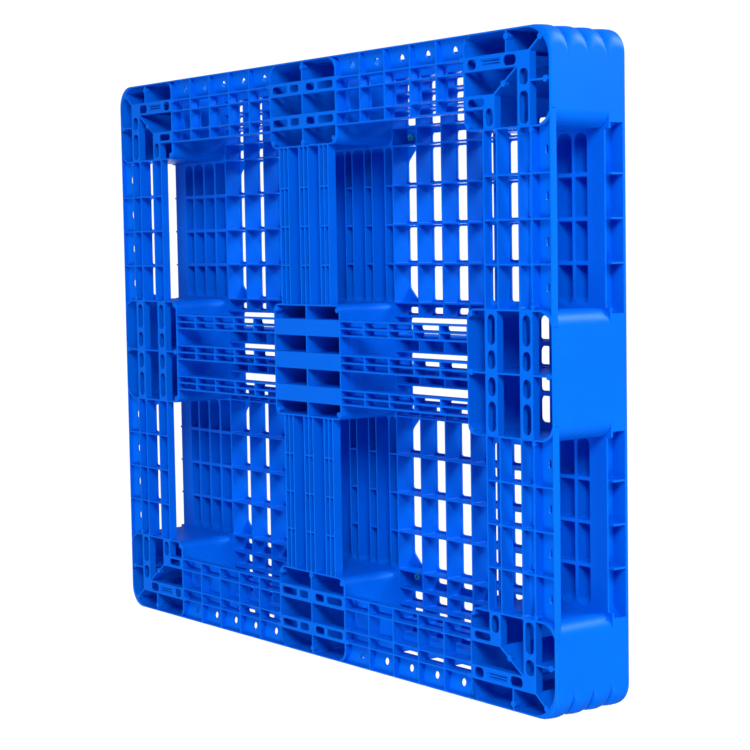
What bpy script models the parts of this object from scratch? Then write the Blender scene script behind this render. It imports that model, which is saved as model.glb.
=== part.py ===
"""Plastic pallet with a slotted, ribbed deck on nine hollow feet tied together by bottom rails.

The long side runs along X, the short side along Y, and +Z is up. The origin is on the floor under the
centre. Plan sizes are in millimetres and are turned into metres where a shape is made.
"""

import math

import bmesh
import bpy
from mathutils import Matrix, Vector

MM = 0.001
GAP = 0.3  # clearance between pieces that touch

# Overall size
HALF_LENGTH = 600
HALF_WIDTH = 500
DECK_TOP = 150
FOOT_TOP = 115
RAIL_TOP = 22

# Walls
RIB = 3
SKIN = 4
OUTER_RADIUS = 30
FOOT_RADIUS = 15
SMALL_RADIUS = 12

# Feet
FOOT_X = 94.5  # half length of the feet in the middle of the length
FOOT_Y = 95  # half width of the feet in the middle of the width
CORNER_X = 412  # inner end of the corner feet
CORNER_Y = 356
BAR_X_OUTER = (444, 466)  # solid bars across the feet in the long edges
BAR_X_INNER = (388, 411)
BAR_Y_OUTER = (530, 557)  # the same in the short edges
BAR_Y_INNER = (454, 480)
MIDDLE_BARS = ((-14, 14), (42, 70), (-70, -42))

# Deck rib grid, on the +X +Y side
BAY_X = (94.5, 158, 221.5, 285, 348.5, 412)
BAY_Y = (95, 160, 225, 290, 355)
EDGE_X = (412, 450, 488, 525, 557)
EDGE_Y = (355, 385, 413, 441, 466)
BAND_X = (-94.5, -73, -37.5, -17, 17, 37.5, 73, 94.5)
BAND_Y = (14, 41, 73, 95)
EDGE_RIB = 6  # the ribs of the short edges are thicker
FOOT_SEAT = 8  # width of the solid ring that the deck rests on a foot with

# Deck openings
SLOT_HALF = 27.5
SLOT_INSET = 1
SLOT_CORNER = 20
EDGE_SLOTS_Y = ((358, 374), (389, 409), (417, 436), (444, 459))
LONG_SLOTS_Y = ((-12, 12), (43, 69), (-69, -43))
BAND_SLOT_Y = (77, 87)

# Recess along the sides of the deck, between the feet
CHANNEL_LOW = 118.3
CHANNEL_HIGH = 143
CHANNEL_DEPTH = 25
CHANNEL_OVERRUN = 10
FLANGE_SETBACK = 10

# Bottom rails
RAIL_ROWS_Y = (386, 407.5, 443.5, 463, 500)
RAIL_ROWS_X = (453, 484, 531, 558, 600)
RAIL_INNER_TOP = 14  # the rails fall away towards both edges, so that wheels and forks ride over them
RAIL_RIM_TOP = 10.5
BEAM_OUTER_TOP = 15.5
FLOOR = 3  # thickness of the tray floors
TRAY_HOLE_Y = 481
TRAY_HOLE_X = 580
TRAY_HOLE_RADIUS = 5.5
TRAY_HOLE_LONG = 7  # half size of the oblong holes in the short edges
TRAY_HOLE_NARROW = 4
FOOT_LEDGE = 10
BEAM_HALF = 14
BEAM_ROW = (43, 56.5, 70)

# Anti-slip plugs
PLUG_XY = (107, 370)
PLUG_HEAD_RADIUS = 9
PLUG_HEAD = 2
PLUG_SHANK_RADIUS = 5
PLUG_BARB_RADIUS = 6.2
PLUG_CORE_RADIUS = 3
PLUG_LENGTH = 7

REACH = 1  # how far a cutter runs past the face that it opens


def home(name):
    """A new collection in the scene."""
    made = bpy.data.collections.new(name)
    bpy.context.scene.collection.children.link(made)
    return made


def plastic(name, colour, roughness):
    made = bpy.data.materials.new(name)
    made.use_nodes = True
    shader = made.node_tree.nodes["Principled BSDF"]
    shader.inputs["Base Color"].default_value = (*colour, 1)
    shader.inputs["Roughness"].default_value = roughness
    shader.inputs["Metallic"].default_value = 0
    return made


def rounded(low_x, high_x, low_y, high_y, radii, steps=3):
    """A rectangle whose corners, from low X low Y and anticlockwise, have the given radii."""
    corners = ((low_x, low_y), (high_x, low_y), (high_x, high_y), (low_x, high_y))
    inward = ((1, 1), (-1, 1), (-1, -1), (1, -1))
    points = []
    for turn, (corner, side, radius) in enumerate(zip(corners, inward, radii)):
        if not radius:
            points.append(corner)
            continue
        centre_x = corner[0] + side[0] * radius
        centre_y = corner[1] + side[1] * radius
        for step in range(steps + 1):
            angle = math.pi * (1 + turn / 2) + math.pi / 2 * step / steps
            points.append((centre_x + radius * math.cos(angle), centre_y + radius * math.sin(angle)))
    return points


def stadium(low_x, high_x, low_y, high_y, steps=2):
    """A slot with round ends."""
    radius = min(high_x - low_x, high_y - low_y) / 2 - 0.01
    return rounded(low_x, high_x, low_y, high_y, (radius,) * 4, steps)


def rectangle(low_x, high_x, low_y, high_y):
    return rounded(low_x, high_x, low_y, high_y, (0,) * 4)


def flipped(outline, side_x, side_y):
    return [(side_x * x, side_y * y) for x, y in outline]


def four_ways(outlines):
    """The outlines of one quarter, in all four quarters."""
    return [flipped(outline, x, y) for outline in outlines for x in (1, -1) for y in (1, -1)]


def spans(lines, rib):
    """The clear widths between ribs centred on the given lines."""
    return [(low + rib / 2, high - rib / 2) for low, high in zip(lines, lines[1:])]


def prism(name, outlines, z_low, z_high, where, look=None):
    """A mesh object made of flat outlines extruded between two heights."""
    curve = bpy.data.curves.new(name, "CURVE")
    curve.dimensions = "2D"
    curve.fill_mode = "BOTH"
    curve.extrude = (z_high - z_low) / 2 * MM
    for outline in outlines:
        spline = curve.splines.new("POLY")
        spline.points.add(len(outline) - 1)
        for point, (x, y) in zip(spline.points, outline):
            point.co = (x * MM, y * MM, 0, 1)
        spline.use_cyclic_u = True
    drawn = bpy.data.objects.new(name, curve)
    drawn.location.z = (z_low + z_high) / 2 * MM
    where.objects.link(drawn)
    bpy.context.view_layer.update()
    graph = bpy.context.evaluated_depsgraph_get()
    mesh = bpy.data.meshes.new_from_object(drawn.evaluated_get(graph))
    work = bmesh.new()
    work.from_mesh(mesh)
    bmesh.ops.remove_doubles(work, verts=work.verts, dist=1e-6)
    bmesh.ops.dissolve_limit(work, angle_limit=1e-4, verts=work.verts, edges=work.edges)
    bmesh.ops.recalc_face_normals(work, faces=work.faces)
    work.to_mesh(mesh)
    work.free()
    placed = drawn.matrix_world.copy()
    bpy.data.objects.remove(drawn)
    bpy.data.curves.remove(curve)
    solid = bpy.data.objects.new(name, mesh)
    solid.matrix_world = placed
    where.objects.link(solid)
    mesh.materials.clear()
    if look:
        mesh.materials.append(look)
    return solid


def lying_prism(name, profile, along_x, start, end, where, look=None):
    """A prism whose profile, in sideways distance and height, is extruded along X or along Y."""
    low, high = sorted((start, end))
    if along_x:
        turn = Matrix(((0, 0, 1), (1, 0, 0), (0, 1, 0))).to_4x4()
        solid = prism(name, [profile], low, high, where, look)
    else:
        turn = Matrix(((1, 0, 0), (0, 0, -1), (0, 1, 0))).to_4x4()
        solid = prism(name, [profile], -high, -low, where, look)
    solid.matrix_world = turn @ solid.matrix_world
    return solid


def cut(solid, name, outlines, z_low, z_high):
    """Cuts extruded outlines out of a solid with a Boolean modifier."""
    cut_with(solid, name, prism(f"{solid.name}_{name}", outlines, z_low, z_high, cutters))


def cut_with(solid, name, cutter):
    cutter.hide_render = True
    cutter.display_type = "WIRE"
    boolean = solid.modifiers.new(name, "BOOLEAN")
    boolean.operation = "DIFFERENCE"
    boolean.solver = "EXACT"
    boolean.object = cutter


def deck_bay_slots():
    """The openings of one quarter's rib grid. The four at the bay's corners have that corner cut off."""
    found = []
    columns = spans(BAY_X, RIB)
    for column, (low_x, high_x) in enumerate(columns):
        for row, (low, high) in enumerate(zip(BAY_Y, BAY_Y[1:])):
            middle = (low + high) / 2
            left = low_x + SLOT_INSET
            right = high_x - SLOT_INSET
            bottom = middle - SLOT_HALF
            top = middle + SLOT_HALF
            outline = rectangle(left, right, bottom, top)
            at_x = {0: left, len(columns) - 1: right}.get(column)
            at_y = {0: bottom, len(BAY_Y) - 2: top}.get(row)
            if at_x is not None and at_y is not None:
                outline = cut_corner(outline, (at_x, at_y), SLOT_CORNER)
            found.append(outline)
    return found


def cut_corner(outline, corner, size):
    """The outline with one of its corners replaced by a diagonal."""
    points = []
    for before, point, after in zip(outline[-1:] + outline[:-1], outline, outline[1:] + outline[:1]):
        if point != corner:
            points.append(point)
            continue
        here = Vector(point)
        for other in (before, after):
            towards = (Vector(other) - here).normalized() * size
            points.append(tuple(here + towards))
    return points


def deck_pockets():
    """The hollows between the ribs, open to below, in one quarter."""
    found = []
    beside_long_slots = spans(BAND_Y[:2], RIB) + spans(BAND_Y[2:], RIB)
    for low_x, high_x in spans(BAY_X, RIB):
        for low_y, high_y in spans(BAY_Y, RIB) + spans(EDGE_Y, RIB) + beside_long_slots:
            found.append(rectangle(low_x, high_x, low_y, high_y))
    for column, (low_x, high_x) in enumerate(spans(EDGE_X, EDGE_RIB)):
        for row, (low_y, high_y) in enumerate(spans(BAY_Y, EDGE_RIB)):
            radii = [0, 0, 0, 0]
            if column and row == 0:
                radii[0] = radii[1] = SMALL_RADIUS
            if column and row == len(BAY_Y) - 2:
                radii[2] = radii[3] = SMALL_RADIUS
            found.append(rounded(low_x, high_x, low_y, high_y, radii, 1))
    return four_ways(found)


def deck_band_pockets():
    """The hollows of the two bands that cross the middle, and those over the feet."""
    found = []
    low_bay, high_bay = BAY_X[0] + RIB / 2, BAY_X[-1] - RIB / 2
    for side in (1, -1):
        for index, (low_x, high_x) in enumerate(spans(BAND_X, RIB)):
            lines = BAY_Y if index in (0, 2, 4, 6) else (BAY_Y[0], BAY_Y[-1])
            for low_y, high_y in spans(lines, RIB):
                found.append(flipped(rectangle(low_x, high_x, low_y, high_y), 1, side))
        for low_y, high_y in spans((-BAND_Y[2], -BAND_Y[1]), RIB) + spans((-BAND_Y[0], BAND_Y[0]), RIB):
            found.append(flipped(rectangle(low_bay, high_bay, low_y, high_y), side, 1))
        low_y, high_y = spans(BAND_Y[1:3], RIB)[0]
        found.append(flipped(rectangle(low_bay, high_bay, low_y, high_y), side, 1))
    far_x, far_y = HALF_LENGTH - FOOT_SEAT, HALF_WIDTH - FOOT_SEAT
    over_feet = [
        rectangle(CORNER_X + FOOT_SEAT, far_x, CORNER_Y + FOOT_SEAT, HALF_WIDTH - OUTER_RADIUS),
        rectangle(CORNER_X + FOOT_SEAT, far_x, RIB / 2, FOOT_Y - FOOT_SEAT),
        rectangle(RIB / 2, FOOT_X - FOOT_SEAT, CORNER_Y + FOOT_SEAT, far_y),
        rectangle(RIB / 2, FOOT_X - FOOT_SEAT, RIB / 2, FOOT_Y - FOOT_SEAT),
    ]
    return found + four_ways(over_feet)


def deck_small_slots():
    """The openings over the long rails and beside the long beams."""
    quarter = []
    for column, (low_x, high_x) in enumerate(spans(BAY_X, RIB)):
        left = low_x + SLOT_INSET
        right = high_x - SLOT_INSET
        for row, (low_y, high_y) in enumerate(EDGE_SLOTS_Y):
            if column or row:
                quarter.append(rectangle(left, right, low_y, high_y))
        quarter.append(rectangle(left, right, *BAND_SLOT_Y))
    long_slots = [
        flipped(rectangle(BAY_X[0] + 3, BAY_X[-1] - 3, low_y, high_y), side, 1)
        for low_y, high_y in LONG_SLOTS_Y
        for side in (1, -1)
    ]
    return four_ways(quarter) + long_slots


def channel_outlines(high_x, high_y):
    """The recess along one quarter's two sides, broken by the cross ribs, out to the given faces."""
    found = []
    lines_x = (BAY_X[0] - CHANNEL_OVERRUN, *BAY_X[1:-1], BAY_X[-1] + CHANNEL_OVERRUN)
    lines_y = (BAY_Y[0] - CHANNEL_OVERRUN, *BAY_Y[1:-1], BAY_Y[-1] + CHANNEL_OVERRUN)
    for low, high in spans(lines_x, RIB):
        found.append(rectangle(low, high, high_y - CHANNEL_DEPTH, high_y + REACH))
    for low, high in spans(lines_y, RIB):
        found.append(rectangle(high_x - CHANNEL_DEPTH, high_x + REACH, low, high))
    return four_ways(found)


def make_deck(look):
    outline = rounded(-HALF_LENGTH, HALF_LENGTH, -HALF_WIDTH, HALF_WIDTH, (OUTER_RADIUS,) * 4, 6)
    deck = prism("top_deck", [outline], FOOT_TOP + GAP, DECK_TOP, pallet, look)
    below = FOOT_TOP - REACH
    cut(deck, "pockets", deck_pockets(), below, DECK_TOP - SKIN)
    cut(deck, "band_pockets", deck_band_pockets(), below, DECK_TOP - SKIN)
    open_from = DECK_TOP - 2 * SKIN
    cut(deck, "bay_slots", four_ways(deck_bay_slots()), open_from, DECK_TOP + REACH)
    cut(deck, "small_slots", deck_small_slots(), open_from, DECK_TOP + REACH)
    cut(deck, "channel", channel_outlines(HALF_LENGTH, HALF_WIDTH), CHANNEL_LOW, CHANNEL_HIGH)
    setback = [
        rectangle(BAY_X[0], BAY_X[-1], HALF_WIDTH - FLANGE_SETBACK, HALF_WIDTH + REACH),
        rectangle(HALF_LENGTH - FLANGE_SETBACK, HALF_LENGTH + REACH, BAY_Y[0], BAY_Y[-1]),
    ]
    cut(deck, "flange", four_ways(setback), below, CHANNEL_LOW + REACH)
    head = PLUG_HEAD_RADIUS + GAP
    shank = PLUG_SHANK_RADIUS + GAP
    x, y = PLUG_XY
    seats = rounded(x - head, x + head, y - head, y + head, (head - 0.01,) * 4, 3)
    holes = rounded(x - shank, x + shank, y - shank, y + shank, (shank - 0.01,) * 4, 3)
    cut(deck, "plug_seats", four_ways([seats]), DECK_TOP - PLUG_HEAD - GAP, DECK_TOP + REACH)
    cut(deck, "plug_holes", four_ways([holes]), open_from, DECK_TOP)


def make_foot(name, outline, pockets, slots, look, bars=()):
    """A hollow foot, open below, with a plate on top. Its plain bars are hollow from above."""
    foot = prism(name, [outline], 0, FOOT_TOP, pallet, look)
    cut(foot, "pockets", pockets + slots, -REACH, FOOT_TOP - RIB)
    if bars:
        cut(foot, "bars", bars, RIB, FOOT_TOP + REACH)


def corner_foot_plan():
    """Outline, pockets and bar slots of the foot at +X +Y."""
    outline = rounded(CORNER_X, HALF_LENGTH, CORNER_Y, HALF_WIDTH, (FOOT_RADIUS, 0, OUTER_RADIUS, 0), 4)
    left = CORNER_X + RIB
    right = HALF_LENGTH - RIB
    low = CORNER_Y + RIB
    high = HALF_WIDTH - RIB
    inner_radius = OUTER_RADIUS - RIB
    arc = [
        (
            right - inner_radius + inner_radius * math.cos(math.radians(angle)),
            high - inner_radius + inner_radius * math.sin(math.radians(angle)),
        )
        for angle in (0, 22, 34, 56, 74, 90)
    ]
    bar_x, bar_y = BAR_Y_OUTER[1], BAR_X_OUTER[1] - 1
    pockets = [
        [(left, bar_y), (505.5, bar_y), (505.5, high), (427, high), (left, 481)],
        [(508.5, bar_y), (555, bar_y), arc[3], arc[4], arc[5], (508.5, high)],
        [(bar_x, 423.5), (right, 423.5), arc[0], arc[1], arc[2], (bar_x, 462.5)],
        [(bar_x, low), (576, low), (right, 376), (right, 420.5), (bar_x, 420.5)],
        [(left, 408), (479.5, 408), (527, 442), (527, 444), (left, 444)],
        [(481, low), (531, low), (531, 441), (482.5, 406)],
        rounded(left, 453, low, 388, (SMALL_RADIUS, 0, 0, 0), 3),
    ]
    slots = [
        stadium(421, 441, 447, 462),
        rectangle(449, 497, 451, 459),
        stadium(500, 528, 447, 462),
        stadium(535, 553, 417, 440),
        stadium(535, 553, 361.5, 408),
        stadium(421, 458, 393, 402.5),
        stadium(462, 477, 362, 387),
    ]
    return outline, pockets, slots


def long_edge_foot_plan():
    """Outline, pockets and bar slots of the middle foot of the +Y edge."""
    outline = rounded(-FOOT_X, FOOT_X, CORNER_Y + 1, HALF_WIDTH, (FOOT_RADIUS, FOOT_RADIUS, 0, 0), 4)
    side = FOOT_X - RIB
    low = CORNER_Y + 1 + RIB
    high = HALF_WIDTH - RIB
    inside = RIB / 2
    half = [
        [(inside, BAR_X_OUTER[1]), (side, BAR_X_OUTER[1]), (side, 480), (76, high), (inside, high)],
        rectangle(inside, side, BAR_X_INNER[1], BAR_X_OUTER[0]),
        rounded(inside, side, low, BAR_X_INNER[0], (0, SMALL_RADIUS, 0, 0), 3),
    ]
    slots = [
        stadium(low_x, high_x, middle - 5.5, middle + 5.5)
        for middle in (455, 399.5)
        for low_x, high_x in ((10, 34), (42, 86))
    ]
    both = [flipped(shape, way, 1) for shape in half for way in (1, -1)]
    return outline, both, [flipped(shape, way, 1) for shape in slots for way in (1, -1)]


def short_edge_foot_plan():
    """Outline, pockets and bar slots of the middle foot of the +X edge."""
    outline = rounded(CORNER_X, HALF_LENGTH, -FOOT_Y, FOOT_Y, (FOOT_RADIUS, 0, 0, FOOT_RADIUS), 4)
    side = FOOT_Y - RIB
    left = CORNER_X + RIB
    right = HALF_LENGTH - RIB
    inside = RIB / 2
    bar = BAR_Y_OUTER[1]
    half = [
        [(bar, inside), (right, inside), (right, 73), (590, 84), (575, side), (bar, side)],
        rectangle(BAR_Y_INNER[1], BAR_Y_OUTER[0], inside, side),
        rounded(left, BAR_Y_INNER[0], inside, side, (0, 0, 0, SMALL_RADIUS), 3),
    ]
    slots = [
        stadium(middle - 7, middle + 7, low_y, high_y)
        for middle in (468, 544)
        for low_y, high_y in ((5, 32), (42, 86))
    ]
    both = [flipped(shape, 1, way) for shape in half for way in (1, -1)]
    return outline, both, [flipped(shape, 1, way) for shape in slots for way in (1, -1)]


def middle_foot_plan():
    outline = rounded(-FOOT_X, FOOT_X, -FOOT_Y, FOOT_Y, (SMALL_RADIUS,) * 4, 4)
    side = FOOT_X - RIB
    end = FOOT_Y - RIB
    inside = RIB / 2
    inner_radius = SMALL_RADIUS - RIB
    quarter = [
        rectangle(inside, side, MIDDLE_BARS[0][1], MIDDLE_BARS[1][0]),
        rounded(inside, side, MIDDLE_BARS[1][1], end, (0, 0, inner_radius, 0), 3),
    ]
    bars = [rectangle(-side, side, low + RIB, high - RIB) for low, high in MIDDLE_BARS]
    return outline, four_ways(quarter), [], bars


def make_rail(name, along_x, side_x, side_y, look):
    """A bottom rail in an edge, between two feet: an outer row of trays and three rows of windows.

    Its top falls towards the rim and towards the inner edge. across runs over the rail, along runs down it.
    """
    if along_x:
        rows, bays = RAIL_ROWS_Y, BAY_X[1:-1]
        start, end = FOOT_X + GAP, CORNER_X - GAP
        across, along = side_y, side_x
        hole_at, hole_half = TRAY_HOLE_Y, (TRAY_HOLE_RADIUS, TRAY_HOLE_RADIUS)
    else:
        rows, bays = RAIL_ROWS_X, BAY_Y[1:-1]
        start, end = FOOT_Y + GAP, CORNER_Y - GAP
        across, along = side_x, side_y
        hole_at, hole_half = TRAY_HOLE_X, (TRAY_HOLE_LONG, TRAY_HOLE_NARROW)
    inner, flat_from, flat_to, tray, rim = rows
    profile = ((inner, 0), (rim, 0), (rim, RAIL_RIM_TOP), (flat_to, RAIL_TOP), (flat_from, RAIL_TOP))
    profile += ((inner, RAIL_INNER_TOP),)
    ends = (along * start, along * end)
    rail = lying_prism(name, flipped(profile, across, 1), along_x, *ends, pallet, look)
    cells = spans((start + RIB / 2, *bays, end - RIB / 2), RIB)
    lines = (inner + RIB / 2, flat_from, flat_to, tray, rim - RIB / 2)
    *window_rows, (tray_low, tray_high) = spans(lines, RIB)
    slope = (RAIL_TOP - RAIL_RIM_TOP) / (rim - flat_to)
    floors = [(at, RAIL_TOP - FLOOR - slope * (at - flat_to)) for at in (tray_high, tray_low)]
    tray_profile = flipped([(tray_low, -REACH), (tray_high, -REACH), *floors], across, 1)
    windows, holes = [], []
    for index, (low, high) in enumerate(cells):
        ledge = FOOT_LEDGE - RIB if along_x and index == 0 else 0
        for left, right in window_rows:
            reach_along = (along * (low + ledge), along * high)
            windows.append(plan_box(along_x, *reach_along, across * left, across * right))
        middle = (low + high) / 2
        reach_along = (along * (middle - hole_half[0]), along * (middle + hole_half[0]))
        reach_across = (across * (hole_at - hole_half[1]), across * (hole_at + hole_half[1]))
        holes.append(plan_box(along_x, *reach_along, *reach_across, stadium))
        tray_ends = (along * low, along * high)
        cutter = lying_prism(f"{name}_tray_{index}", tray_profile, along_x, *tray_ends, cutters)
        cut_with(rail, f"tray_{index}", cutter)
    cut(rail, "windows", windows, -REACH, RAIL_TOP + REACH)
    cut(rail, "holes", holes, FLOOR, RAIL_TOP + REACH)


def plan_box(along_x, along_a, along_b, across_a, across_b, shape=rectangle):
    """A flat shape given by its reach along and across a rail."""
    reach_along = sorted((along_a, along_b))
    reach_across = sorted((across_a, across_b))
    first, second = (reach_along, reach_across) if along_x else (reach_across, reach_along)
    return shape(*first, *second)


def make_beam(name, along_x, way, rows, look):
    """One of the three parallel bars between the middle foot and a foot in an edge, with windows in it."""
    if along_x:
        start, end, bays = FOOT_X + GAP, CORNER_X - GAP, BAY_X[1:-1]
    else:
        start, end, bays = FOOT_Y + GAP, CORNER_Y + 1 - GAP, BAY_Y[1:-1]
    cells = spans((start + RIB / 2, *bays, end - RIB / 2), RIB)
    across = spans((rows[0] + RIB / 2, rows[1], rows[2] - RIB / 2), RIB)
    tops = [BEAM_OUTER_TOP if abs(line) == BEAM_ROW[-1] else RAIL_TOP for line in (rows[0], rows[2])]
    profile = [(rows[0], 0), (rows[2], 0), (rows[2], tops[1]), (rows[0], tops[0])]
    beam = lying_prism(name, profile, along_x, way * start, way * end, pallet, look)
    windows = [plan_box(along_x, way * low, way * high, *row) for low, high in cells for row in across]
    cut(beam, "windows", windows, -REACH, RAIL_TOP + REACH)


def make_plug(name, side_x, side_y, look):
    """A rubber plug turned about its own axis: a flush head, a shank through the skin and a barb."""
    under_skin = -SKIN - GAP
    profile = (
        (0, 0),
        (PLUG_HEAD_RADIUS, 0),
        (PLUG_HEAD_RADIUS, -PLUG_HEAD),
        (PLUG_SHANK_RADIUS, -PLUG_HEAD),
        (PLUG_SHANK_RADIUS, under_skin),
        (PLUG_BARB_RADIUS, under_skin),
        (PLUG_SHANK_RADIUS, -PLUG_LENGTH),
        (PLUG_CORE_RADIUS, -PLUG_LENGTH),
        (PLUG_CORE_RADIUS, -PLUG_HEAD),
        (0, -PLUG_HEAD),
    )
    work = bmesh.new()
    points = [work.verts.new((radius * MM, 0, height * MM)) for radius, height in profile]
    for first, second in zip(points, points[1:]):
        work.edges.new((first, second))
    mesh = bpy.data.meshes.new(name)
    work.to_mesh(mesh)
    work.free()
    mesh.materials.append(look)
    plug = bpy.data.objects.new(name, mesh)
    plug.matrix_world = Matrix.Translation(
        (side_x * PLUG_XY[0] * MM, side_y * PLUG_XY[1] * MM, DECK_TOP * MM)
    )
    pallet.objects.link(plug)
    turned = plug.modifiers.new("turned", "SCREW")
    turned.steps = 10
    turned.render_steps = 10
    turned.use_merge_vertices = True
    turned.merge_threshold = 1e-5


for leftover in list(bpy.data.objects):
    bpy.data.objects.remove(leftover)

pallet = home("plastic_pallet")
cutters = home("cutters")

BLUE = (0.0, 0.155, 0.94)
TEAL = (0.02, 0.42, 0.50)

make_deck(plastic("deck_plastic", BLUE, 0.42))

CORNERS = (("front", -1), ("rear", 1))
SIDES = (("left", -1), ("right", 1))

plan = corner_foot_plan()
for end, side_y in CORNERS:
    for hand, side_x in SIDES:
        shapes = [[flipped(shape, side_x, side_y) for shape in group] for group in plan[1:]]
        name = f"corner_foot_{end}_{hand}"
        make_foot(name, flipped(plan[0], side_x, side_y), *shapes, plastic(name, BLUE, 0.4))

plan = long_edge_foot_plan()
for end, side_y in CORNERS:
    shapes = [[flipped(shape, 1, side_y) for shape in group] for group in plan[1:]]
    name = f"{end}_centre_foot"
    make_foot(name, flipped(plan[0], 1, side_y), *shapes, plastic(name, BLUE, 0.4))

plan = short_edge_foot_plan()
for hand, side_x in SIDES:
    shapes = [[flipped(shape, side_x, 1) for shape in group] for group in plan[1:]]
    name = f"{hand}_centre_foot"
    make_foot(name, flipped(plan[0], side_x, 1), *shapes, plastic(name, BLUE, 0.4))

*shapes, bars = middle_foot_plan()
make_foot("middle_foot", *shapes, plastic("middle_foot", BLUE, 0.4), bars)

for end, side_y in CORNERS:
    for hand, side_x in SIDES:
        for name, along_x in ((f"{end}_rail_{hand}", True), (f"{hand}_rail_{end}", False)):
            make_rail(name, along_x, side_x, side_y, plastic(name, BLUE, 0.4))
        plug = f"grip_plug_{end}_{hand}"
        make_plug(plug, side_x, side_y, plastic(plug, TEAL, 0.7))

LANES = (
    ("centre", (-BEAM_HALF, 0, BEAM_HALF)),
    ("high", BEAM_ROW),
    ("low", tuple(-line for line in reversed(BEAM_ROW))),
)
for lane, rows in LANES:
    for hand, side_x in SIDES:
        name = f"long_beam_{hand}_{lane}"
        make_beam(name, True, side_x, rows, plastic(name, BLUE, 0.4))
    for end, side_y in CORNERS:
        name = f"cross_beam_{end}_{lane}"
        make_beam(name, False, side_y, rows, plastic(name, BLUE, 0.4))
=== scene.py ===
"""Blue plastic pallet seen from below: detailed moulded parts in place of the plain CAD solids.

Sizes are in millimetres, in the frame of the CAD: X along the length, Y along the width, Z up from the floor.
Every part is made of ribs, which are flat outlines extruded with rounded edges, and of thin plates.
"""

import math

import bmesh
import bpy
from mathutils import Matrix, Vector


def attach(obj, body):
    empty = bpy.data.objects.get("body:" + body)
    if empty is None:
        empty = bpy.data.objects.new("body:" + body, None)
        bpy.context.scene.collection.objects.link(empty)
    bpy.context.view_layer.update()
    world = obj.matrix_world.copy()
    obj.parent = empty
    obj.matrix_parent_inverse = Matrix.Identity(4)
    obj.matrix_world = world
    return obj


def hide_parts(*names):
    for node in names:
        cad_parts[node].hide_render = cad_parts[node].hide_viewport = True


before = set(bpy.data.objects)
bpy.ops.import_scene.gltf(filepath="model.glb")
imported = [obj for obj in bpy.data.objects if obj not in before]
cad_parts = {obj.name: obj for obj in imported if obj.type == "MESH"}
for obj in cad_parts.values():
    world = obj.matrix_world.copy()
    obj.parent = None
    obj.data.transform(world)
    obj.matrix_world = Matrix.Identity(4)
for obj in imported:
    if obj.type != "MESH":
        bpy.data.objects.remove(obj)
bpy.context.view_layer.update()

MM = 0.001
RIB = 3
HALF_LENGTH = 600
HALF_WIDTH = 500
FOOT_TOP = 115
DECK_TOP = 150
SKIN = 4
EDGE = 0.7  # rounding of the rib edges
RIM_EDGE = 2.4  # rounding of the outer lower rim
OUTER_RADIUS = 30
GROOVES = (37, 76, 113)  # heights of the grooves round the pallet's corners
GROOVE_RADIUS = 50
GROOVE_LEAD = 5  # how far the lowest and highest bulges would run on past the pallet
FOOT_X = 94.5
FOOT_Y = 95
CORNER_X = 412
CORNER_Y = 356
BAR_DEPTH = 13  # height of the flanges under the feet's bars
BAY_X = (94.5, 158, 221.5, 285, 348.5, 412)
BAY_Y = (95, 160, 225, 290, 355)
EDGE_X = (412, 450, 488, 525, 557)
EDGE_Y = (355, 385, 413, 441, 466)
BAND_X = (-94.5, -73, -37.5, -17, 17, 37.5, 73, 94.5)
BAND_Y = (14, 41, 73, 95)
EDGE_RIB = 6
EDGE_SLOTS_Y = ((358, 374), (389, 409), (417, 436), (444, 459))
LONG_SLOTS_Y = ((-12, 12), (43, 69), (-69, -43))
BAND_SLOT_Y = (77, 87)
CHANNEL = (118.3, 143)
CHANNEL_DEPTH = 25
CHANNEL_OVERRUN = 10
FLANGE_SETBACK = 10
RAIL_ROWS_Y = (386, 407.5, 443.5, 463, 500)
RAIL_ROWS_X = (453, 484, 531, 558, 600)
RAIL_TOP = 22
RAIL_INNER_TOP = 14
RAIL_RIM_TOP = 10.5
BEAM_OUTER_TOP = 15.5
PLATE = 3
WINDOW_INSET = 1.8
FOOT_LEDGE = 10
OVERLAP = 2.6  # how far a rail reaches into the wall of the foot that it is welded to
PLUG_XY = (107, 370)
LIFT = 0.12  # the rails end this far above the feet's rims, so that no two faces coincide
BEAM_LEDGE = 7  # the plate at each end of a beam, where it meets a foot
FINE_INSET = 1.5  # the plate left round the other windows of a beam
SLOT_HALF = 27.5  # half length of the deck's grid slots
SLOT_CORNER = 20  # chamfer of the grid's four outermost slots
BAND_CORNER = 8  # corner radius of the deep hollows in the deck's centre bands, next to the feet
CHANNEL_CORNER = 18
PLUG_HOLE = 5.4
PLUG_SEAT = 9.3
PLUG_SEAT_DEPTH = 2.3
SHARP = 50  # edges that turn by more degrees than this stay sharp


# ---------------------------------------------------------------- outlines

def rounded(low_x, high_x, low_y, high_y, radii, steps=3):
    """A rectangle whose corners, from low X low Y and anticlockwise, have the given radii."""
    if not isinstance(radii, tuple):
        radii = (radii,) * 4
    corners = ((low_x, low_y), (high_x, low_y), (high_x, high_y), (low_x, high_y))
    inward = ((1, 1), (-1, 1), (-1, -1), (1, -1))
    points = []
    for turn, (corner, side, radius) in enumerate(zip(corners, inward, radii)):
        if not radius:
            points.append(corner)
            continue
        centre_x = corner[0] + side[0] * radius
        centre_y = corner[1] + side[1] * radius
        for step in range(steps + 1):
            angle = math.pi * (1 + turn / 2) + math.pi / 2 * step / steps
            points.append((centre_x + radius * math.cos(angle), centre_y + radius * math.sin(angle)))
    return points


def stadium(low_x, high_x, low_y, high_y, steps=4):
    radius = min(high_x - low_x, high_y - low_y) / 2 - 0.01
    return rounded(low_x, high_x, low_y, high_y, radius, steps)


def circle(x, y, radius, steps=14):
    turns = [math.tau * step / steps for step in range(steps)]
    return [(x + radius * math.cos(turn), y + radius * math.sin(turn)) for turn in turns]


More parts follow.
